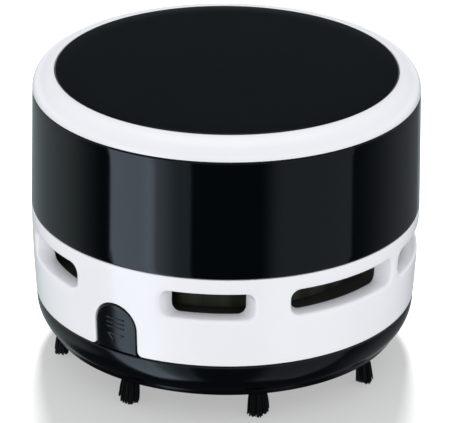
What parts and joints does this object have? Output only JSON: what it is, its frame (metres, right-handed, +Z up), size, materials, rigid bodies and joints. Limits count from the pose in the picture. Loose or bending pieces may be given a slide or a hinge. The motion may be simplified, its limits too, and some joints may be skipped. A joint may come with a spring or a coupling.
{
  "type": "desktop vacuum cleaner",
  "caption": "Round battery-driven desktop vacuum: tray with brush tufts and suction mouth, slotted vent ring, glossy housing band and twist-off top cover.",
  "frame": {"origin": "centre of the body, on the surface that the brush tips stand on", "axes": "+Z up through the middle of the body; the release tab faces -Y"},
  "size_m": [0.085, 0.085, 0.0657],
  "materials": {
    "tray_black": "gloss",
    "shell_white": "gloss",
    "band_black": "piano gloss",
    "disc_black": "gloss",
    "shroud_black": "gloss",
    "inner_grey": "fine grain",
    "impeller_white": "satin",
    "filter_cloth": "non-woven",
    "bristle": "nylon bristle",
    "steel": "plated",
    "steel_dark": "matte",
    "end_cap_plastic": "satin",
    "brass": "plain",
    "cell_sleeve": "printed sleeve, bare",
    "switch_plastic": "satin",
    "knob_black": "satin",
    "lead_red": "insulation",
    "lead_black": "insulation"
  },
  "bodies": {
    "tray": {"dust_tray": "tray_black", "brush_tuft_1": "bristle", "brush_tuft_2": "bristle", "brush_tuft_3": "bristle", "brush_tuft_4": "bristle", "brush_tuft_5": "bristle", "brush_tuft_6": "bristle", "brush_tuft_7": "bristle", "brush_tuft_8": "bristle"},
    "tab": {"release_tab": "tray_black"},
    "upper": {"vent_ring": "shell_white", "housing_band": "band_black", "motor_deck": "inner_grey", "fan_shroud": "shroud_black", "fan_inlet_plate": "inner_grey", "filter_frame": "tray_black", "filter_mesh": "filter_cloth", "motor_can": "steel", "motor_magnets": "steel_dark", "motor_end_cap": "end_cap_plastic", "motor_terminals": "brass", "motor_clamp": "inner_grey", "clamp_screws": "steel", "band_screws": "steel", "plate_screws": "steel", "battery_cell_1": "cell_sleeve", "battery_cell_2": "cell_sleeve", "battery_spring_1": "steel", "battery_spring_2": "steel", "contact_bridge": "steel", "contact_positive": "steel", "contact_negative": "steel", "switch_body": "switch_plastic", "lead_motor_to_switch": "lead_red", "lead_battery_to_switch": "lead_red", "lead_battery_to_motor": "lead_black"},
    "cover": {"top_cover": "shell_white", "top_disc": "disc_black"},
    "knob": {"switch_knob": "knob_black"},
    "rotor": {"impeller": "impeller_white", "motor_shaft": "steel", "motor_armature": "steel_dark"}
  },
  "joints": [
    {"name": "body_lift", "type": "slide", "parent": "tray", "child": "upper", "axis": [0, 0, 1], "range_m": [0, 0.045]},
    {"name": "tab_press", "type": "hinge", "parent": "tray", "child": "tab", "pos_m": [0, -0.038, 0.0157], "axis": [-1, 0, 0], "range_deg": [0, 5], "stiffness_Nm_per_rad": 0.02},
    {"name": "cover_twist", "type": "hinge", "parent": "upper", "child": "cover", "pos_m": [0, 0, 0.06], "axis": [0, 0, 1], "range_deg": [0, 22]},
    {"name": "switch_slide", "type": "slide", "parent": "upper", "child": "knob", "axis": [1, 0, 0], "range_m": [0, 0.004]},
    {"name": "rotor_spin", "type": "hinge", "parent": "upper", "child": "rotor", "pos_m": [0, 0, 0.045], "axis": [0, 0, 1], "continuous": true}
  ]
}
